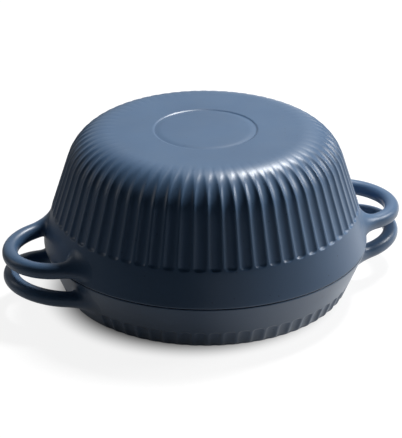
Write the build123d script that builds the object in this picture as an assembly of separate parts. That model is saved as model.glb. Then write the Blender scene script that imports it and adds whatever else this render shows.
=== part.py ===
from build123d import *
import math
import os

os.makedirs("parts", exist_ok=True)

# Sizes in millimetres, angles in degrees.
# Rim, shared by both castings.
rim_radius = 136.0
rim_width = 6.5
rim_edge = 1.0

# Register: a lip on the pan stands in a rebate in the pot.
lip_width = 2.0
lip_height = 2.4
lip_clearance = 0.4

# Deep pot, turned over as a dome. Its heights count up from the rim.
pot_height = 97.0
pot_corner_radius = 106.2
pot_taper = 18.0
pot_shoulder = 36.6
pot_shoulder_steps = 4
pot_band = 28.0
pot_wall = 5.0
pot_base_wall = 5.2

# Shallow pan. Its heights count down from the rim.
pan_height = 42.5
pan_corner_radius = 118.5
pan_shoulder = 6.0
pan_shoulder_steps = 2
pan_band = 25.0
pan_wall = 5.0
pan_base_wall = 5.2

# Flutes, the same count and section on both castings.
flute_count = 66
flute_radius = 5.2
flute_depth = 1.8
flute_fade = 68.0
flute_scoop = 3.0
flute_sides = 10
flute_trim = 0.1

# Loop handles, cast in one with each casting.
bar_radius = 6.4
bar_sides = 10
loop_radius = 40.9
loop_centre = 127.2
root_length = 9.0
root_radius = 12.5
pot_handle_height = 8.9
pot_handle_droop = 3.2
pan_handle_drop = 18.5
pan_handle_rise = 7.3

# Plain stamped ring on the pot's base.
ring_radius = 42.3
ring_width = 1.4
ring_depth = 0.4


def at(radius, height):
    return Vector(radius, 0, height)


def turned(angle):
    # Direction in the radial plane, 0 outwards and 90 up.
    return at(math.cos(math.radians(angle)), math.sin(math.radians(angle)))


def shoulder_points(corner, lean, radius, steps):
    # Outline of a rounded corner between a side leaning in by lean and a level base.
    reach = radius * math.tan(math.radians(90 - lean) / 2)
    centre = corner + at(-reach, -radius)
    angles = [lean + (90 - lean) * step / steps for step in range(steps + 1)]
    return [centre + turned(angle) * radius for angle in angles]


def revolve_points(points):
    return revolve(make_face(Polyline(points, close=True)), Axis.Z, 360)


def flute_turns():
    # Angles of the flutes' middles round the axis.
    return [(step + 0.5) * 360 / flute_count for step in range(flute_count)]


def corner_ring(point):
    # Corners of a level polygon whose sides touch the circle through the point, one side per ridge.
    reach = point.X / math.cos(math.pi / flute_count)
    return [at(reach, point.Z).rotate(Axis.Z, turn) for turn in flute_turns()]


def flat_sided(points):
    # Solid with one flat facet per ridge at each level; its corners lie where the flutes run.
    rings = [corner_ring(point) for point in points]
    faces = [make_face(Polyline(ring, close=True)) for ring in (rings[0], rings[-1])]
    for low, high in zip(rings, rings[1:]):
        for step in range(flute_count):
            facet = Polyline(low[step - 1], low[step], high[step], high[step - 1], close=True)
            faces.append(make_face(facet))
    return Solid(Shell(faces))


def ring_solid(inner, outer, low, high):
    band = Plane.XZ * Pos((inner + outer) / 2, (low + high) / 2) * Rectangle(outer - inner, high - low)
    return revolve(band, Axis.Z, 360)


def pot_points(inset, base_inset):
    # Side and shoulder of the dome, from the top of its band to the flat base.
    lean = math.radians(pot_taper)
    top = pot_height - base_inset
    side = pot_corner_radius + math.tan(lean) * base_inset - inset / math.cos(lean)
    shoulder = shoulder_points(at(side, top), pot_taper, pot_shoulder - inset, pot_shoulder_steps)
    band_top = at(side + math.tan(lean) * (top - pot_band), pot_band)
    return [band_top] + shoulder


def pan_lean():
    return math.degrees(math.atan((rim_radius - pan_corner_radius) / pan_height))


def pan_points(inset, base_inset, rim):
    # Side and base corner of the pan, mirrored up so that heights are positive.
    low = pan_height - base_inset
    lean = math.radians(pan_lean())
    side = pan_corner_radius + math.tan(lean) * base_inset - inset / math.cos(lean)
    slope = math.degrees(math.atan((rim - side) / low))
    return shoulder_points(at(side, low), slope, pan_shoulder + inset, pan_shoulder_steps)


def outside(points):
    # Outside of a casting, from the rim's bevelled edge to the base.
    corner = at(rim_radius, 0)
    bevel = corner + (points[0] - corner).normalized() * rim_edge
    return flat_sided([corner - at(rim_edge, 0), bevel] + points)


def turned_inside(points, rim):
    # Round inside of a casting, from the rim plane to the base.
    return revolve_points([at(0, 0), at(rim, 0)] + points + [at(0, points[-1].Z)])


def bar_section(radius):
    return RegularPolygon(radius, bar_sides, major_radius=False)


def root_foot(side):
    # Flared foot where one arm of the loop runs into the wall.
    frame = Plane(origin=(loop_centre, side * loop_radius, 0), x_dir=(0, 1, 0), z_dir=(1, 0, 0))
    wide = frame.offset(-root_length) * bar_section(root_radius)
    slim = frame.offset(root_length) * bar_section(bar_radius)
    return loft([wide, slim], ruled=True)


def loop(height, tilt):
    spot = Plane.XZ * Pos(loop_radius, 0) * bar_section(bar_radius)
    bar = Rot(0, 0, -90) * revolve(spot, Axis.Z, 180)
    whole = Pos(loop_centre, 0, 0) * bar + root_foot(1) + root_foot(-1)
    shift = Pos(loop_centre, 0, height) * Rot(0, tilt, 0) * Pos(-loop_centre, 0, 0)
    return shift * whole


def swept_flute(stops):
    # Mitred cutter that follows the stops in the radial plane.
    plane = Plane(origin=stops[0], x_dir=(0, 1, 0), z_dir=stops[1] - stops[0])
    section = RegularPolygon(flute_radius, flute_sides, major_radius=False)
    flat_down = Rot(0, 0, 90 + 180 / flute_sides)
    return sweep(plane * flat_down * section, Polyline(stops), transition=Transition.RIGHT)


def scoop_stops(band_top, side_end):
    # The rounded end of a flute beside the plain band.
    along = (side_end - band_top).normalized()
    out = Vector(along.Z, 0, -along.X)
    mouth = band_top + along * rim_edge
    clear = mouth + out * (flute_radius + lip_clearance)
    full = mouth + along * flute_scoop + out * (flute_radius - flute_depth)
    return [clear, full]


def pot_flute():
    # Up the side and over the shoulder, lifting out before the flat base.
    points = pot_points(0, 0)
    stops = scoop_stops(points[0], points[1])
    for step, point in enumerate(points[1:]):
        angle = (90 - pot_taper) * step / pot_shoulder_steps
        fade = (1 - math.cos(math.radians(angle))) / (1 - math.cos(math.radians(flute_fade)))
        lift = flute_radius - flute_depth * (1 - fade)
        stops.append(point + turned(pot_taper + angle) * lift)
    return swept_flute(stops)


def pan_flute():
    # Straight along the side and out through the base corner.
    side_end = pan_points(0, 0, rim_radius)[0]
    rim_point = at(rim_radius, 0)
    along = (side_end - rim_point).normalized()
    band_top = rim_point + along * (pan_band / along.Z)
    stops = scoop_stops(band_top, side_end)
    return swept_flute(stops + [stops[1] + along * pan_height])


def around(cutter, skipped):
    # Copies of one cutter round the axis, each trimmed to stay off the next one.
    far = 2 * rim_radius
    edge = far * math.tan(math.pi / flute_count)
    wedge = make_face(Polyline((flute_trim, 0), (far, edge), (far, -edge), close=True))
    trimmed = cutter & extrude(wedge, pot_height + rim_width)
    return [Rot(0, 0, turn) * trimmed for turn in flute_turns() if not skipped(turn)]


def under_root(turn):
    # True where a pan flute would run into the foot of a handle arm.
    side = abs((turn + 90) % 180 - 90)
    arm = math.degrees(math.asin(loop_radius / rim_radius))
    reach = math.degrees((root_radius + flute_radius) / rim_radius)
    return abs(side - arm) < reach


def with_loops(body, height, tilt):
    ring = loop(height, tilt)
    keep = Cylinder(2 * rim_radius, pot_height, align=(Align.CENTER, Align.CENTER, Align.MIN))
    return body + (ring & keep) + (Rot(0, 0, 180) * ring & keep)


def deep_pot():
    body = outside(pot_points(0, 0))
    body = with_loops(body, pot_handle_height, pot_handle_droop)
    body = body.cut(*around(pot_flute(), lambda turn: False))
    body -= flat_sided([at(rim_radius - rim_width, 0)] + pot_points(pot_wall, pot_base_wall))
    rebate = rim_radius - rim_width + lip_width + lip_clearance
    body -= Cylinder(rebate, 2 * (lip_height + lip_clearance))
    inner = ring_radius - ring_width / 2
    body -= ring_solid(inner, inner + ring_width, pot_height - ring_depth, pot_height + ring_depth)
    return Pos(0, 0, pan_height) * body


def shallow_pan():
    # Modelled base up, then turned over.
    inner = rim_radius - rim_width
    body = outside(pan_points(0, 0, rim_radius))
    body = with_loops(body, pan_handle_drop, pan_handle_rise)
    body = body.cut(*around(pan_flute(), under_root))
    body += ring_solid(inner, inner + lip_width, -lip_height, rim_edge)
    body -= turned_inside(pan_points(pan_wall, pan_base_wall, inner), inner)
    return Pos(0, 0, pan_height) * Rot(180, 0, 0) * body


parts = {
    "deep_pot": deep_pot(),
    "shallow_pan": shallow_pan(),
}
for name, part in parts.items():
    part.label = name
    export_step(part, f"parts/{name}.step")
    print(name, round(part.volume / 1000, 1), "cm3", part.bounding_box())
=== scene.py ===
import bpy
import math
import numpy as np
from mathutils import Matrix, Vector


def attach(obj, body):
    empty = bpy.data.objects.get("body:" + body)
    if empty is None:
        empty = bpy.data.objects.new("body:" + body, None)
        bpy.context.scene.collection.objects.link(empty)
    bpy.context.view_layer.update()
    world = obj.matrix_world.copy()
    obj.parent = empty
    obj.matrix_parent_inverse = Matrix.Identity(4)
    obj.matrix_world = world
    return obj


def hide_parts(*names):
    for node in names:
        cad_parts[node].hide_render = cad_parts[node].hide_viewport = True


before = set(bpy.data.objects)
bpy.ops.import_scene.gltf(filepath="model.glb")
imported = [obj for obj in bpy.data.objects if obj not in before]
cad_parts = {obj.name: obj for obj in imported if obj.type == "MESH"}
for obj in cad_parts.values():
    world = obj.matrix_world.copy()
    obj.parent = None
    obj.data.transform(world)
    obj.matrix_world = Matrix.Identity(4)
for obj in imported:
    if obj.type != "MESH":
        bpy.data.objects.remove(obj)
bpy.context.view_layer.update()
print("frame loaded:", ", ".join(sorted(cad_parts)))

mm = 0.001           # sizes below are in millimetres unless a note says metres
seamHeight = 42.5    # of the plane where the two rims meet


# An outline runs in the radial plane as (radius, height from the rim plane).

def roundedPath(corners, steps=28):
    # each corner is (radius, height, rounding); the first and last have no rounding
    points = [np.array(corner[:2], float) for corner in corners]
    path = [points[0]]
    roundings = [corner[2] for corner in corners[1:]]
    for before, corner, after, rounding in zip(points, points[1:], points[2:], roundings):
        back = (before - corner) / np.linalg.norm(before - corner)
        ahead = (after - corner) / np.linalg.norm(after - corner)
        half = math.acos(float(np.clip(back @ ahead, -1, 1))) / 2
        centre = corner + (back + ahead) / np.linalg.norm(back + ahead) * rounding / math.sin(half)
        start = corner + back * rounding / math.tan(half) - centre
        end = corner + ahead * rounding / math.tan(half) - centre
        turn = math.pi - 2 * half
        for t in np.linspace(0, 1, steps + 1):
            swung = math.sin((1 - t) * turn) * start + math.sin(t * turn) * end
            path.append(centre + swung / math.sin(turn))
    path.append(points[-1])
    return np.array(path)


def runLengths(path):
    return np.concatenate([[0], np.cumsum(np.linalg.norm(np.diff(path, axis=0), axis=1))])


def pathAt(path, places, reach=0.2):
    # radius, height and outward normal at distances run along the path; the normal is taken over reach
    run = runLengths(path)
    radius, height = (np.interp(places, run, path[:, k]) for k in (0, 1))
    along = np.stack([
        np.interp(places + reach, run, path[:, k]) - np.interp(places - reach, run, path[:, k])
        for k in (0, 1)], 1)
    along /= np.linalg.norm(along, axis=1)[:, None]
    return radius, height, np.stack([along[:, 1], -along[:, 0]], 1)


def radiusAt(path, height):
    order = np.argsort(path[:, 1])
    return float(np.interp(height, path[order, 1], path[order, 0]))


# Finishes by their place in each casting's material list. The rim's is a dark bare rim, which on the rim's
# outer edge is also painted shade along the seam between the castings.
outerFinish, innerFinish, rimAndSeamShadeFinish = 0, 1, 2


class Skin:
    # a casting's surface, gathered as rings of points joined by faces
    def __init__(self):
        self.points, self.faces, self.finishes = [], [], []
        self.total = 0

    def ring(self, points):
        start = self.total
        self.points.append(points)
        self.total += len(points)
        return list(range(start, self.total))

    def face(self, corners, finish):
        self.faces.append(tuple(corners))
        self.finishes.append(finish)

    def join(self, low, high, finish=outerFinish):
        # between two rings; one of them may have several points for each point of the other
        if len(low) == len(high):
            for j in range(len(low)):
                k = (j + 1) % len(low)
                self.face((low[j], low[k], high[k], high[j]), finish)
            return
        fine, coarse = (low, high) if len(low) > len(high) else (high, low)
        share = len(fine) // len(coarse)
        for j in range(len(coarse)):
            run = [fine[(j * share + i) % len(fine)] for i in range(share + 1)]
            corners = run + [coarse[(j + 1) % len(coarse)], coarse[j]]
            self.face(corners if fine is low else corners[::-1], finish)

    def cap(self, ring, height, finish=outerFinish):
        tip = self.ring(np.array([[0.0, 0.0, height]]))[0]
        for j in range(len(ring)):
            self.face((ring[j], ring[(j + 1) % len(ring)], tip), finish)


fluting = {
    "count": 66,
    "halfWidth": 5.0,      # of one hollow
    "depth": 1.5,
    "flatness": 2.6,       # 2 is a parabola, more has a flatter floor and steeper sides
    "soft": 0.35,          # rounding of the ridge edges
    "scoop": 3.0,          # length of a hollow's rounded lower end
    "gap": 1.0,            # from the band's edge to the hollows
    "narrowest": 0.43,     # most of the pitch that half a hollow takes
    "holds": 0.35,         # share of the shoulder's fade over which a hollow keeps its depth
    "deepens": 0.2,        # and how fast it deepens there, before it runs out
    "runOut": 1.5,         # 1 runs out evenly, more does it late and steeply
}
# Places across one pitch, as shares of it each side of the hollow's middle. They are closer together
# near hollowEdge, where the hollow meets the ridge.
hollowEdge = 0.4
sideShares = [0.09, 0.18, 0.26, 0.33, 0.38, 0.42, 0.46]
fluteShares = np.array([-share for share in reversed(sideShares)] + [0] + sideShares + [0.5])
flutePitch = 2 * math.pi / fluting["count"]
# Rows of points up the outside, as distances run; three numbers are the first, the last and how many.
rows = {
    "rimEdge": (0, 0.7),
    "nearRim": (1.1, 3.0, 6),
    "band": (6, 0.5, 5),       # the last is short of the band's end by this much
    "scoop": (0.3, 5.0, 11),   # from the band's end on
    "sideStart": 6.5,          # from the band's end
    "leanAt": 8,               # where the side's lean is taken, from the band's end
    "perFlute": 4,             # points for each flute on the band
    "rimOutside": 3,           # rows with the rim's finish, outside and inside; outside, on the rim's edge, it darkens the seam line as painted shade
    "rimInside": 24,
    "underEdge": 0.6,          # from the rim's inner face out to the first row
    "middle": 30,              # radius of the last ring on an inside base
}


def ringAt(skin, radius, height, perFlute=2):
    # a plain ring whose first point is in line with the first point of the fluted rings
    steps = np.arange(perFlute * fluting["count"]) * flutePitch / perFlute
    theta = flutePitch * (0.5 + fluteShares[0]) + steps
    level = np.full(len(theta), height)
    return skin.ring(np.stack([radius * np.cos(theta), radius * np.sin(theta), level], 1))


def ridgeEdge(hollow, soft):
    # depth of the hollow, rounded over where it runs out
    near = np.clip(soft - np.abs(hollow), 0, None) / soft
    return np.maximum(hollow, 0) + near ** 2 * soft / 4


def flutedRing(skin, place, path, bandRun, sideLean, fadeAngle, live):
    radius, height, normal = (value[0] for value in pathAt(path, np.array([place])))
    pitch = flutePitch * radius
    half = min(fluting["halfWidth"], fluting["narrowest"] * pitch)
    across = np.interp(np.abs(fluteShares), [0, hollowEdge, 0.5], [0, half / pitch, 0.5])
    across *= np.sign(fluteShares)
    turned = max(0.0, math.atan2(normal[1], normal[0]) - sideLean)
    share = min(math.degrees(turned) / fadeAngle, 1.0)
    runOut = max(0.0, (share - fluting["holds"]) / (1 - fluting["holds"]))
    fade = (1 + fluting["deepens"] * share) * (1 - runOut ** fluting["runOut"])
    short = max(0.0, bandRun + fluting["gap"] + fluting["scoop"] - place) / fluting["scoop"]
    spread = np.abs(across * pitch / half) ** fluting["flatness"] + short ** 2
    deep = ridgeEdge(fluting["depth"] * (fade - spread), fluting["soft"])
    theta = (np.arange(fluting["count"])[:, None] + 0.5 + across[None, :]) * flutePitch
    sunk = live[:, None] * deep[None, :]
    r, h = radius - normal[0] * sunk, height - normal[1] * sunk
    return skin.ring(np.stack([r * np.cos(theta), r * np.sin(theta), h], -1).reshape(-1, 3))


def outside(skin, path, shape, skipped):
    # from the rim plane over the band and the fluted side to the flat base; gives the first and last rings
    run = runLengths(path)
    bandRun = float(np.interp(shape["band"], path[:, 1], run))
    sideNormal = pathAt(path, np.array([bandRun + rows["leanAt"]]))[2][0]
    sideLean = math.atan2(sideNormal[1], sideNormal[0])
    rings = []
    start, short, count = rows["band"]
    plain = [rows["rimEdge"], np.linspace(*rows["nearRim"]), np.linspace(start, bandRun - short, count)]
    for place in np.concatenate(plain):
        radius, height, _ = (value[0] for value in pathAt(path, np.array([place])))
        rings.append(ringAt(skin, radius, height, rows["perFlute"]))
    centres = (np.arange(fluting["count"]) + 0.5) * 360 / fluting["count"]
    live = np.array([0.0 if skipped(centre) else 1.0 for centre in centres])
    bend = run[-2] - shape["shoulderRun"]     # where the shoulder's arc begins
    places = np.concatenate([
        bandRun + np.linspace(*rows["scoop"]),
        np.linspace(bandRun + rows["sideStart"], bend, shape["sideRows"]),
        np.linspace(bend, run[-2], shape["shoulderRows"])[1:], [run[-1]]])
    for place in places:
        rings.append(flutedRing(skin, place, path, bandRun, sideLean, shape["fade"], live))
    # the first rows, on the rim's edge, take the dark rim finish, which is partly painted shade along the
    # seam
    for index, (low, high) in enumerate(zip(rings, rings[1:])):
        skin.join(low, high, rimAndSeamShadeFinish if index < rows["rimOutside"] else outerFinish)
    return rings[0], rings[-1]


def inside(skin, corners, firstRing, base):
    # from under the rim's edge round the inside to the middle of the base
    previous = ringAt(skin, corners[0][0] + rows["underEdge"], 0)
    skin.join(previous, firstRing, rimAndSeamShadeFinish)
    for index, (radius, height) in enumerate(roundedPath(corners, steps=7)):
        ring = ringAt(skin, radius, height)
        skin.join(ring, previous, rimAndSeamShadeFinish if index < rows["rimInside"] else innerFinish)
        previous = ring
    middle = ringAt(skin, rows["middle"], base)
    skin.join(middle, previous, innerFinish)
    skin.cap(middle[::-1], base, innerFinish)


handle = {
    "bar": 6.4,            # half the bar's thickness
    "squareness": 2.2,     # 2 is round, more is squarer
    "loop": 40.9,
    "centre": 127.2,
    "blend": 13.0,         # length over which an arm widens into its root
    "footOuter": 25.0,     # reach of the root along the wall, away from the loop
    "footInner": 16.0,     # and towards the loop
    "leave": 0.62,         # share of the blend over which the root keeps the bar's direction
    "settle": 0.6,         # share of the foot's reach where the root meets the wall
    "sink": 0.12,          # of the foot's edge into the wall
    "search": 20.0,        # each way along the arm for the place where it meets the wall
    "halvings": 40,
    "barSteps": 36,
    "around": 28,
    "rootSteps": 9,
}


def loopPlace(reach, height, droop):
    # point of the loop's centre line a distance from its tip, with the heading and cross directions there
    outward = np.array([math.cos(droop), 0, -math.sin(droop)])
    across = np.array([0, 1.0, 0])
    up = np.array([math.sin(droop), 0, math.cos(droop)])
    centre = np.array([handle["centre"], 0, height])
    quarter = handle["loop"] * math.pi / 2
    if abs(reach) <= quarter:
        turn = reach / handle["loop"]
        radial = math.cos(turn) * outward + math.sin(turn) * across
        heading = math.cos(turn) * across - math.sin(turn) * outward
        return centre + handle["loop"] * radial, heading, radial, up
    side = math.copysign(1, reach)
    spot = centre + side * handle["loop"] * across - (abs(reach) - quarter) * outward
    return spot, -side * outward, side * across, up


def barSection(reach, height, droop):
    spot, heading, radial, up = loopPlace(reach, height, droop)
    phi = np.arange(handle["around"]) * 2 * math.pi / handle["around"]
    power = 2 / handle["squareness"]
    out = np.sign(np.cos(phi)) * np.abs(np.cos(phi)) ** power * handle["bar"]
    rise = np.sign(np.sin(phi)) * np.abs(np.sin(phi)) ** power * handle["bar"]
    return spot + out[:, None] * radial + rise[:, None] * up, heading


def rootGrid(path, height, droop, shape):
    # strips from the end of one arm's bar out to its foot on the wall, and where the bar ends
    low = handle["loop"] * math.pi / 2 - handle["search"]
    high = low + 2 * handle["search"]
    for _ in range(handle["halvings"]):
        middle = (low + high) / 2
        spot = loopPlace(middle, height, droop)[0]
        if math.hypot(spot[0], spot[1]) > radiusAt(path, spot[2]):
            low = middle
        else:
            high = middle
    hit = loopPlace(low, height, droop)[0]
    end = low - handle["blend"]
    edge, heading = barSection(end, height, droop)
    azimuth = math.atan2(hit[1], hit[0])

    def wallPoint(angle, scale, sink):
        across = handle["footOuter"] if math.cos(angle) > 0 else handle["footInner"]
        up = shape["footUp"] if math.sin(angle) > 0 else shape["footDown"]
        lift = hit[2] + up * math.sin(angle) * scale
        radius = radiusAt(path, lift) - sink
        turn = azimuth + across * math.cos(angle) * scale / radius
        return np.array([radius * math.cos(turn), radius * math.sin(turn), lift])

    grid = np.zeros((handle["rootSteps"], handle["around"], 3))
    for j in range(handle["around"]):
        angle = j * 2 * math.pi / handle["around"]
        leave = edge[j] + heading * handle["blend"] * handle["leave"]
        settle = wallPoint(angle, handle["settle"], 0.0)
        foot = wallPoint(angle, 1.0, handle["sink"])
        for k in range(handle["rootSteps"]):
            t = (k + 1) / handle["rootSteps"]
            grid[k, j] = ((1 - t) ** 3 * edge[j] + 3 * (1 - t) ** 2 * t * leave
                          + 3 * (1 - t) * t ** 2 * settle + t ** 3 * foot)
    return grid, end


def addLoop(skin, path, height, droop, shape, side):
    # one loop handle on the side given as 1 or -1: the bar, and a root at each arm
    grid, end = rootGrid(path, height, droop, shape)
    reaches = np.linspace(-end, end, handle["barSteps"] + 1)
    bar = [barSection(reach, height, droop)[0] for reach in reaches]
    farRoot = [row * np.array([1, -1, 1]) for row in grid[::-1]]
    rings = [skin.ring(row * np.array([side, 1, 1])) for row in farRoot + bar + list(grid)]
    for low, high in zip(rings, rings[1:]):
        # the order keeps the faces outward on both sides
        skin.join(*((high, low) if side > 0 else (low, high)))


def finishMesh(name, skin, turnOver):
    flip = np.array([1, 1, -1 if turnOver else 1])
    points = np.concatenate(skin.points) * flip + np.array([0, 0, seamHeight])
    faces = [face[::-1] for face in skin.faces] if turnOver else skin.faces
    mesh = bpy.data.meshes.new(name)
    mesh.from_pydata((points * mm).tolist(), [], faces)
    mesh.polygons.foreach_set("use_smooth", [True] * len(faces))
    mesh.polygons.foreach_set("material_index", skin.finishes)
    mesh.validate()
    mesh.update()
    piece = bpy.data.objects.new(name, mesh)
    bpy.context.scene.collection.objects.link(piece)
    print(name, "built:", len(points), "points")
    return piece


# The rim's edge, the same on both castings.
rim = {
    "radius": 136.0,
    "face": 2.2,           # width of the flat face that the outside starts from
    "rounding": 1.1,
}
pot = {
    "height": 97.0,
    "corner": 106.2,       # radius at which the side would meet the base
    "taper": 18.0,         # degrees
    "shoulder": 36.6,
    "band": 28.0,
    "bandRounding": 90,    # where the band meets the side, outside and inside
    "insideRounding": 60,
    "wall": 5.0,
    "baseWall": 5.2,
    "rimFace": 132.6,      # radius where the rim's face starts
    "rebate": 131.9,       # the step that takes the pan's lip
    "rebateHeight": 2.8,
    "innerRim": 129.0,
    "flatInside": 60,      # radius of the first row on the inside base
    "flatRun": 2,          # from the shoulder's end to the first row on the base
    "sideRows": 5,
    "shoulderRows": 14,
    "fade": 53.0,          # degrees of the shoulder's turn over which the flutes run out
    "handleHeight": 8.9,
    "handleDroop": 3.2,
    "footUp": 16.5,
    "footDown": 8.3,
    "ring": 42.3,
    "ringDepth": 0.7,
    # the stamped ring's section, steep outside with a long slope inside: (out from its line, share of depth)
    "ringSection": [
        (2.0, 0), (1.1, 0), (0.7, 0.2), (0.1, 0.85), (-0.3, 1),
        (-0.8, 1), (-1.6, 0.85), (-3, 0.45), (-5, 0.1), (-7, 0)],
    "outsideRing": [31, 15],     # plain rows on the base, out from the ring's line
    "insideRing": [-20, -32],
}
pot["shoulderRun"] = pot["shoulder"] * math.radians(90 - pot["taper"])


def makePot():
    skin = Skin()
    slope = math.tan(math.radians(pot["taper"]))
    bandTop = pot["corner"] + slope * (pot["height"] - pot["band"])
    shoulderReach = pot["shoulder"] * math.tan(math.radians((90 - pot["taper"]) / 2))
    flatEdge = pot["corner"] - shoulderReach - pot["flatRun"]
    path = roundedPath([
        (rim["radius"] - rim["face"], 0, 0), (rim["radius"], 0, rim["rounding"]),
        (bandTop, pot["band"], pot["bandRounding"]),
        (pot["corner"], pot["height"], pot["shoulder"]), (flatEdge, pot["height"], 0)])
    firstRing, lastRing = outside(skin, path, pot, lambda centre: False)
    # the flat base, with the plain stamped ring
    previous = lastRing
    plainOut, plainIn = ([(away, 0) for away in pot[side]] for side in ("outsideRing", "insideRing"))
    for away, share in plainOut + pot["ringSection"] + plainIn:
        ring = ringAt(skin, pot["ring"] + away, pot["height"] - share * pot["ringDepth"])
        skin.join(previous, ring)
        previous = ring
    skin.cap(previous, pot["height"])
    # the rebate under the rim, then the hollow
    top = pot["height"] - pot["baseWall"]
    side = pot["corner"] + slope * pot["baseWall"] - pot["wall"] / math.cos(math.radians(pot["taper"]))
    inside(skin, [
        (pot["rimFace"], 0, 0), (pot["rebate"], 0, 0.35), (pot["rebate"], pot["rebateHeight"], 0.3),
        (pot["innerRim"], pot["rebateHeight"], 0.5),
        (side + slope * (top - pot["band"]), pot["band"], pot["insideRounding"]),
        (side, top, pot["shoulder"] - pot["wall"]), (pot["flatInside"], top, 0)], firstRing, top)
    for which in (1, -1):
        addLoop(skin, path, pot["handleHeight"], math.radians(pot["handleDroop"]), pot, which)
    return finishMesh("deepPot", skin, False)


pan = {
    "height": 42.5,
    "corner": 118.5,
    "shoulder": 6.0,
    "band": 25.0,
    "wall": 5.0,
    "baseWall": 5.2,
    "rimFace": 132.2,      # radius where the rim's face starts
    "lip": 131.5,          # outer and inner radius of the lip that stands in the pot's rebate
    "lipInner": 129.5,
    "lipHeight": 2.4,
    "lipFoot": 0.6,        # where the lip's inner side meets the hollow, below the rim plane
    "flatInside": 60,
    "flatRun": 8,
    "underside": [106, 70, 30],     # radii of the rows on the flat base
    "sideRows": 3,
    "shoulderRows": 9,
    "fade": 45.6,
    "handleDrop": 18.5,
    "handleRise": 7.3,
    "footUp": 15.0,        # towards the base, because the pan is made upside down
    "footDown": 16.0,
    "bareHalf": 7.46,      # degrees each side of a handle arm with no flutes
}
pan["lean"] = math.atan((rim["radius"] - pan["corner"]) / pan["height"])
pan["shoulderRun"] = pan["shoulder"] * (math.pi / 2 - pan["lean"])
pan["armAngle"] = math.degrees(math.asin(handle["loop"] / rim["radius"]))


def makePan():
    skin = Skin()
    path = roundedPath([
        (rim["radius"] - rim["face"], 0, 0), (rim["radius"], 0, rim["rounding"]),
        (pan["corner"], pan["height"], pan["shoulder"]), (pan["corner"] - pan["flatRun"], pan["height"], 0)])

    def underRoot(centre):
        return abs(abs((centre + 90) % 180 - 90) - pan["armAngle"]) < pan["bareHalf"]

    firstRing, lastRing = outside(skin, path, pan, underRoot)
    previous = lastRing
    for radius in pan["underside"]:
        ring = ringAt(skin, radius, pan["height"])
        skin.join(previous, ring)
        previous = ring
    skin.cap(previous, pan["height"])
    # the lip that stands in the pot's rebate, then the hollow
    base = pan["height"] - pan["baseWall"]
    side = pan["corner"] + math.tan(pan["lean"]) * pan["baseWall"] - pan["wall"] / math.cos(pan["lean"])
    inside(skin, [
        (pan["rimFace"], 0, 0), (pan["lip"], 0, 0.3), (pan["lip"], -pan["lipHeight"], 0.5),
        (pan["lipInner"], -pan["lipHeight"], 0.6), (pan["lipInner"], pan["lipFoot"], 0.3),
        (side, base, pan["shoulder"] + pan["wall"]), (pan["flatInside"], base, 0)], firstRing, base)
    for which in (1, -1):
        addLoop(skin, path, pan["handleDrop"], math.radians(pan["handleRise"]), pan, which)
    return finishMesh("shallowPan", skin, True)


# Finishes. Each effect is a node group, and each enamel places it with its own values.

def newGroup(name, inputs, outputs):
    group = bpy.data.node_groups.new(name, "ShaderNodeTree")
    for label, kind, value in inputs:
        socket = group.interface.new_socket(name=label, in_out="INPUT", socket_type="NodeSocket" + kind)
        socket.default_value = value
    for label, kind in outputs:
        group.interface.new_socket(name=label, in_out="OUTPUT", socket_type="NodeSocket" + kind)
    return group, group.nodes.new("NodeGroupInput"), group.nodes.new("NodeGroupOutput")


def mathNode(tree, operation, first, second):
    # first and second are sockets or plain numbers
    node = tree.nodes.new("ShaderNodeMath")
    node.operation = operation
    for socket, value in zip(node.inputs, (first, second)):
        if isinstance(value, (int, float)):
            socket.default_value = value
        else:
            tree.links.new(value, socket)
    return node.outputs[0]


def stepNode(tree, value, start, end, low=0.0, high=1.0):
    # eases from low to high while value goes from start to end
    node = tree.nodes.new("ShaderNodeMapRange")
    node.interpolation_type = "SMOOTHSTEP"
    for label, number in (("From Min", start), ("From Max", end), ("To Min", low), ("To Max", high)):
        if isinstance(number, (int, float)):
            node.inputs[label].default_value = number
        else:
            tree.links.new(number, node.inputs[label])
    tree.links.new(value, node.inputs["Value"])
    return node.outputs["Result"]


def noiseNode(tree, vector, scale, detail):
    node = tree.nodes.new("ShaderNodeTexNoise")
    node.inputs["Detail"].default_value = detail
    tree.links.new(vector, node.inputs["Vector"])
    if isinstance(scale, (int, float)):
        node.inputs["Scale"].default_value = scale
    else:
        tree.links.new(scale, node.inputs["Scale"])
    return node.outputs["Fac"]


def mixNode(tree, share, first, second):
    node = tree.nodes.new("ShaderNodeMix")
    node.data_type = "RGBA"
    tree.links.new(share, node.inputs["Factor"])
    tree.links.new(first, node.inputs["A"])
    tree.links.new(second, node.inputs["B"])
    return node.outputs["Result"]


pinholes = {"spacing": 110, "inner": 0.05, "outer": 0.09}


def makeGrain():
    # orange peel of enamel over sand-cast iron, with a slow wave and a few pinholes
    group, given, out = newGroup("castGrain", [
        ("Peel size", "Float", 480.0), ("Wave size", "Float", 70.0), ("Peel", "Float", 0.5),
        ("Wave", "Float", 1.0), ("Pinholes", "Float", 0.4)], [("Height", "Float"), ("Pits", "Float")])
    place = group.nodes.new("ShaderNodeTexCoord").outputs["Object"]
    peel = noiseNode(group, place, given.outputs["Peel size"], 3)
    wave = noiseNode(group, place, given.outputs["Wave size"], 2)
    cells = group.nodes.new("ShaderNodeTexVoronoi")
    cells.inputs["Scale"].default_value = pinholes["spacing"]
    group.links.new(place, cells.inputs["Vector"])
    pits = stepNode(group, cells.outputs["Distance"], pinholes["inner"], pinholes["outer"], 1.0, 0.0)
    height = mathNode(group, "MULTIPLY", peel, given.outputs["Peel"])
    height = mathNode(group, "ADD", height, mathNode(group, "MULTIPLY", wave, given.outputs["Wave"]))
    height = mathNode(group, "SUBTRACT", height, mathNode(group, "MULTIPLY", pits, given.outputs["Pinholes"]))
    group.links.new(height, out.inputs["Height"])
    group.links.new(pits, out.inputs["Pits"])
    return group


drifting = {"start": 0.3, "end": 0.7}


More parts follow.
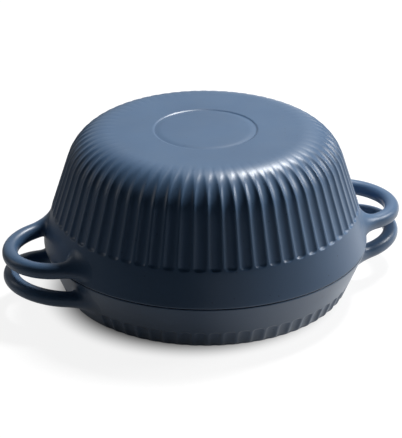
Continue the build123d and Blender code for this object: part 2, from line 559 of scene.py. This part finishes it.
def makeTone():
    # slow drift between a lighter and a deeper enamel, and of its roughness
    group, given, out = newGroup("enamelTone", [
        ("Light", "Color", (0.07, 0.14, 0.26, 1)), ("Deep", "Color", (0.05, 0.1, 0.2, 1)),
        ("Drift size", "Float", 16.0), ("Smooth", "Float", 0.4), ("Rough", "Float", 0.5)],
        [("Colour", "Color"), ("Roughness", "Float")])
    place = group.nodes.new("ShaderNodeTexCoord").outputs["Object"]
    drift = noiseNode(group, place, given.outputs["Drift size"], 4)
    share = stepNode(group, drift, drifting["start"], drifting["end"])
    colour = mixNode(group, share, given.outputs["Deep"], given.outputs["Light"])
    group.links.new(colour, out.inputs["Colour"])
    rough = stepNode(
        group, drift, drifting["start"], drifting["end"], given.outputs["Rough"], given.outputs["Smooth"])
    group.links.new(rough, out.inputs["Roughness"])
    return group


crestWear = {
    "lowFade": 0.004,      # metres
    "highFade": 0.02,
    "size": 60,
    "start": 0.35,
    "end": 0.65,
    "least": 0.35,
}


def makeRidges():
    # where the enamel runs thin along the crests between two flutes; heights in metres
    group, given, out = newGroup("ridgeCrests", [
        ("Low", "Float", 0.07), ("High", "Float", 0.12), ("Narrow", "Float", 0.8)], [("Mask", "Float")])
    place = group.nodes.new("ShaderNodeTexCoord").outputs["Object"]
    split = group.nodes.new("ShaderNodeSeparateXYZ")
    group.links.new(place, split.inputs[0])
    turn = mathNode(group, "ARCTAN2", split.outputs["Y"], split.outputs["X"])
    pitches = mathNode(group, "MULTIPLY", turn, fluting["count"] / (2 * math.pi))
    offset = mathNode(group, "SUBTRACT", mathNode(group, "FRACT", pitches, 0), 0.5)
    across = mathNode(group, "ABSOLUTE", offset, 0)
    crest = stepNode(group, mathNode(group, "MULTIPLY", across, 2), given.outputs["Narrow"], 1.0)
    overLow = mathNode(group, "SUBTRACT", split.outputs["Z"], given.outputs["Low"])
    underHigh = mathNode(group, "SUBTRACT", given.outputs["High"], split.outputs["Z"])
    above = stepNode(group, overLow, 0, crestWear["lowFade"])
    below = stepNode(group, underHigh, 0, crestWear["highFade"])
    patchy = noiseNode(group, place, crestWear["size"], 3)
    worn = stepNode(group, patchy, crestWear["start"], crestWear["end"], crestWear["least"], 1.0)
    wornCrest = mathNode(group, "MULTIPLY", crest, worn)
    between = mathNode(group, "MULTIPLY", above, below)
    group.links.new(mathNode(group, "MULTIPLY", wornCrest, between), out.inputs["Mask"])
    return group


rubbing = {
    "near": 0.3,                 # share of the reach that is fully rubbed
    "patchStart": 0.42,
    "patchEnd": 0.62,
    "lineScale": (900, 60, 60),
    "lineStart": 0.5,
    "lineEnd": 0.7,
    "betweenLines": 0.4,
}


def makeScuffs():
    # dull rubbed patches near a level in metres, such as the face that stands on a hob
    group, given, out = newGroup("scuffs", [
        ("Level", "Float", 0.0), ("Reach", "Float", 0.002), ("Patch size", "Float", 55.0)],
        [("Mask", "Float")])
    place = group.nodes.new("ShaderNodeTexCoord").outputs["Object"]
    split = group.nodes.new("ShaderNodeSeparateXYZ")
    group.links.new(place, split.inputs[0])
    offset = mathNode(group, "SUBTRACT", split.outputs["Z"], given.outputs["Level"])
    away = mathNode(group, "DIVIDE", mathNode(group, "ABSOLUTE", offset, 0), given.outputs["Reach"])
    near = stepNode(group, away, rubbing["near"], 1.0, 1.0, 0.0)
    patches = noiseNode(group, place, given.outputs["Patch size"], 6)
    patch = stepNode(group, patches, rubbing["patchStart"], rubbing["patchEnd"])
    stretch = group.nodes.new("ShaderNodeMapping")
    stretch.inputs["Scale"].default_value = rubbing["lineScale"]
    group.links.new(place, stretch.inputs["Vector"])
    streaks = noiseNode(group, stretch.outputs["Vector"], 1.0, 2)
    lines = stepNode(
        group, streaks, rubbing["lineStart"], rubbing["lineEnd"], rubbing["betweenLines"], 1.0)
    scuffed = mathNode(group, "MULTIPLY", patch, lines)
    group.links.new(mathNode(group, "MULTIPLY", near, scuffed), out.inputs["Mask"])
    return group


grainGroup = makeGrain()
toneGroup = makeTone()
ridgeGroup = makeRidges()
scuffGroup = makeScuffs()
print("shader groups built")


def useGroup(tree, group, values):
    node = tree.nodes.new("ShaderNodeGroup")
    node.node_tree = group
    for label, value in values.items():
        node.inputs[label].default_value = value
    return node


def colourNode(tree, colour):
    node = tree.nodes.new("ShaderNodeRGB")
    node.outputs[0].default_value = (*colour, 1)
    return node.outputs[0]


enamelWear = {
    "crest": 0.78,         # share of the half pitch where the thin crest begins
    "pit": 0.45,           # how far a pinhole darkens
    "rubbedRough": 0.3,    # added to the roughness where rubbed
}


def enamel(name, look):
    material = bpy.data.materials.new(name)
    material.use_nodes = True
    tree = material.node_tree
    shader = tree.nodes["Principled BSDF"]
    tone = useGroup(tree, toneGroup, {
        "Light": (*look["light"], 1), "Deep": (*look["deep"], 1), "Drift size": look["driftSize"],
        "Smooth": look["smooth"], "Rough": look["rough"]})
    grain = useGroup(tree, grainGroup, {
        "Peel size": look["peelSize"], "Peel": look["peel"], "Wave": look["wave"]})
    colour, rough = tone.outputs["Colour"], tone.outputs["Roughness"]
    for low, high in look.get("ridges", []):
        crests = useGroup(tree, ridgeGroup, {"Low": low, "High": high, "Narrow": enamelWear["crest"]})
        thin = mathNode(tree, "MULTIPLY", crests.outputs["Mask"], look["thinness"])
        colour = mixNode(tree, thin, colour, colourNode(tree, look["thin"]))
    for level, reach, strength in look.get("scuffs", []):
        rubbed = useGroup(tree, scuffGroup, {"Level": level, "Reach": reach})
        share = mathNode(tree, "MULTIPLY", rubbed.outputs["Mask"], strength)
        colour = mixNode(tree, share, colour, colourNode(tree, look["rubbed"]))
        rough = mathNode(tree, "ADD", rough, mathNode(tree, "MULTIPLY", share, enamelWear["rubbedRough"]))
    dark = mathNode(tree, "MULTIPLY", grain.outputs["Pits"], enamelWear["pit"])
    colour = mixNode(tree, dark, colour, colourNode(tree, look["pit"]))
    bump = tree.nodes.new("ShaderNodeBump")
    bump.inputs["Distance"].default_value = look["bump"]
    tree.links.new(grain.outputs["Height"], bump.inputs["Height"])
    tree.links.new(bump.outputs["Normal"], shader.inputs["Normal"])
    tree.links.new(colour, shader.inputs["Base Color"])
    tree.links.new(rough, shader.inputs["Roughness"])
    shader.inputs["Specular IOR Level"].default_value = look["sheen"]
    shader.inputs["Coat Weight"].default_value = look["coat"]
    shader.inputs["Coat Roughness"].default_value = look["coatRough"]
    return material


navy = {
    "light": (0.072, 0.145, 0.262), "deep": (0.062, 0.126, 0.232), "driftSize": 14.0,
    "smooth": 0.46, "rough": 0.56, "peelSize": 430.0, "peel": 0.6, "wave": 1.2, "bump": 0.00007,
    "thin": (0.1, 0.185, 0.31), "thinness": 0.35, "pit": (0.02, 0.035, 0.06),
    "rubbed": (0.12, 0.15, 0.19), "sheen": 0.1, "coat": 1.0, "coatRough": 0.38,
}
black = {
    "light": (0.017, 0.017, 0.018), "deep": (0.01, 0.01, 0.011), "driftSize": 22.0,
    "smooth": 0.42, "rough": 0.6, "peelSize": 620.0, "peel": 0.8, "wave": 0.8, "bump": 0.00007,
    "pit": (0.004, 0.004, 0.004), "rubbed": (0.06, 0.058, 0.056), "sheen": 0.4, "coat": 0.5, "coatRough": 0.3,
}
# a dark bare rim; on the outer edge of the rim it also stands in as painted shade along the seam
bareRimAndSeamShade = {
    "light": (0.022, 0.021, 0.021), "deep": (0.012, 0.012, 0.013), "driftSize": 60.0,
    "smooth": 0.6, "rough": 0.8, "peelSize": 900.0, "peel": 1.0, "wave": 0.5, "bump": 0.00006,
    "pit": (0.004, 0.004, 0.004), "rubbed": (0.07, 0.066, 0.062), "sheen": 0.3, "coat": 0.0, "coatRough": 0.3,
}
potTop = (seamHeight + pot["height"]) * mm
# ridges are (lowest, highest) of the worn crests, and scuffs (level, reach, strength), in metres.
castings = {
    "pot": {
        "make": makePot, "node": "deep_pot", "slot": "pot_enamel",
        "ridges": [((seamHeight + pot["band"]) * mm, potTop - 0.004)],
        "scuffs": [(potTop, 0.0012, 0.12)],
    },
    "pan": {
        "make": makePan, "node": "shallow_pan", "slot": "pan_enamel",
        "ridges": [(0.001, (seamHeight - pan["band"]) * mm)],
        "scuffs": [(0.0, 0.0016, 0.75)],
    },
}
blackEnamel = enamel("blackEnamel", black)
rimAndSeamShadeEnamel = enamel("rimAndSeamShadeEnamel", dict(bareRimAndSeamShade, scuffs=[(seamHeight * mm, 0.004, 0.5)]))
for body, casting in castings.items():
    piece = casting["make"]()
    navyEnamel = enamel(body + "Enamel", dict(navy, ridges=casting["ridges"], scuffs=casting["scuffs"]))
    for material in (navyEnamel, blackEnamel, rimAndSeamShadeEnamel):
        piece.data.materials.append(material)
    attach(piece, body)
    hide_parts(casting["node"])
print("castings finished")


# The floor, lamps and camera; sizes from here on are in metres.

stage = {
    "reach": 14.0,
    "colour": 0.17,
    "rough": 0.9,
    "sheen": 0.1,
    "glow": 0.88,                    # the white that the camera and reflections see
    "shadeCentre": (-0.015, -0.005, 0),
    "shadeStart": 0.093,             # from the middle, where the floor begins to glow; nearer in, the glow is held back as a painted shadow round the object
    "shadeEnd": 0.131,
    "brightSide": (0.94, -0.34, 0),  # a painted reflection: reflections find the floor glowing brighter on this side
    "brightStart": -0.07,
    "brightEnd": 0.09,
    "nearShare": 0.34,               # how bright they find the floor close by on any side, also painted reflection
    "nearEnd": 0.2,
    "farStart": 0.3,
}


# a pale floor that glows white, with a painted shadow round the object and, for reflections, a painted
# reflection brighter on one side
def makeFloor():
    reach = stage["reach"]
    mesh = bpy.data.meshes.new("floor")
    corners = [(-reach, -reach, 0), (reach, -reach, 0), (reach, reach, 0), (-reach, reach, 0)]
    mesh.from_pydata(corners, [], [(0, 1, 2, 3)])
    floor = bpy.data.objects.new("floor", mesh)
    bpy.context.scene.collection.objects.link(floor)
    material = bpy.data.materials.new("paleFloor")
    material.use_nodes = True
    tree = material.node_tree
    shader = tree.nodes["Principled BSDF"]
    shader.inputs["Base Color"].default_value = (stage["colour"], stage["colour"], stage["colour"], 1)
    shader.inputs["Roughness"].default_value = stage["rough"]
    shader.inputs["Specular IOR Level"].default_value = stage["sheen"]
    shader.inputs["Emission Color"].default_value = (1, 1, 1, 1)
    spot = tree.nodes.new("ShaderNodeNewGeometry").outputs["Position"]
    away = tree.nodes.new("ShaderNodeVectorMath")
    away.operation = "DISTANCE"
    away.inputs[1].default_value = stage["shadeCentre"]
    tree.links.new(spot, away.inputs[0])
    # painted shadow: the floor's glow fades to nothing close round the object, for the camera and for
    # reflections alike
    paintedShadow = stepNode(tree, away.outputs["Value"], stage["shadeStart"], stage["shadeEnd"], 0.0, stage["glow"])
    # painted reflection: only for reflections, the floor glows brighter on one side and close to the object
    side = tree.nodes.new("ShaderNodeVectorMath")
    side.operation = "DOT_PRODUCT"
    side.inputs[1].default_value = stage["brightSide"]
    tree.links.new(spot, side.inputs[0])
    paintedReflection = stepNode(tree, side.outputs["Value"], stage["brightStart"], stage["brightEnd"])
    near = stepNode(tree, away.outputs["Value"], stage["nearEnd"], stage["farStart"], stage["nearShare"], 0.0)
    paintedReflection = mathNode(tree, "MAXIMUM", paintedReflection, near)
    rays = tree.nodes.new("ShaderNodeLightPath")
    paintedReflectionSeen = mathNode(tree, "MULTIPLY", rays.outputs["Is Glossy Ray"], paintedReflection)
    seen = mathNode(tree, "MAXIMUM", rays.outputs["Is Camera Ray"], paintedReflectionSeen)
    seen = mathNode(tree, "MAXIMUM", seen, rays.outputs["Is Transmission Ray"])
    tree.links.new(mathNode(tree, "MULTIPLY", seen, paintedShadow), shader.inputs["Emission Strength"])
    mesh.materials.append(material)


lamps = {
    "overhead": {"at": (0.86, 0.62, 1.80), "size": (0.34, 0.34), "power": 42.0, "aim": (0, 0, 0.1)},
    "right": {"at": (1.76, -0.18, 1.04), "size": (0.6, 0.45), "power": 20.0, "aim": (0, 0, 0.08)},
    "backLeft": {"at": (-1.5, 0.9, 0.7), "size": (0.3, 0.9), "power": 2.0, "aim": (0, 0, 0.08)},
}
surround = {
    "front": (0.012, 0.014, 0.018),
    "back": (0.36, 0.365, 0.37),
    "towards": (0.34, 0.94, 0.1),
    "start": 0.45,
    "end": 0.97,
}


def makeLamps():
    for name, lamp in lamps.items():
        data = bpy.data.lights.new(name, "AREA")
        data.shape = "RECTANGLE"
        data.size, data.size_y = lamp["size"]
        data.energy = lamp["power"]
        obj = bpy.data.objects.new(name, data)
        obj.location = lamp["at"]
        obj.rotation_euler = (Vector(lamp["aim"]) - Vector(lamp["at"])).to_track_quat("-Z", "Y").to_euler()
        bpy.context.scene.collection.objects.link(obj)
    world = bpy.data.worlds.new("studio")
    world.use_nodes = True
    tree = world.node_tree
    facing = tree.nodes.new("ShaderNodeVectorMath")
    facing.operation = "DOT_PRODUCT"
    facing.inputs[1].default_value = Vector(surround["towards"]).normalized()
    tree.links.new(tree.nodes.new("ShaderNodeTexCoord").outputs["Generated"], facing.inputs[0])
    share = stepNode(tree, facing.outputs["Value"], surround["start"], surround["end"])
    colour = mixNode(tree, share, colourNode(tree, surround["front"]), colourNode(tree, surround["back"]))
    tree.links.new(colour, tree.nodes["Background"].inputs["Color"])
    bpy.context.scene.world = world


view = {
    "lens": 158.98,        # this and the sensor in millimetres
    "sensor": 36,
    "at": (-0.5023, -1.3837, 0.7474),
    "turn": (64.89, 0, -19.81),
}


def makeCamera():
    data = bpy.data.cameras.new("photoView")
    data.lens = view["lens"]
    data.sensor_width = view["sensor"]
    obj = bpy.data.objects.new("photoView", data)
    obj.location = view["at"]
    obj.rotation_euler = [math.radians(angle) for angle in view["turn"]]
    bpy.context.scene.collection.objects.link(obj)
    bpy.context.scene.camera = obj


makeFloor()
makeLamps()
makeCamera()
bpy.context.scene.view_settings.view_transform = "Standard"
print("stage, lamps and camera ready")
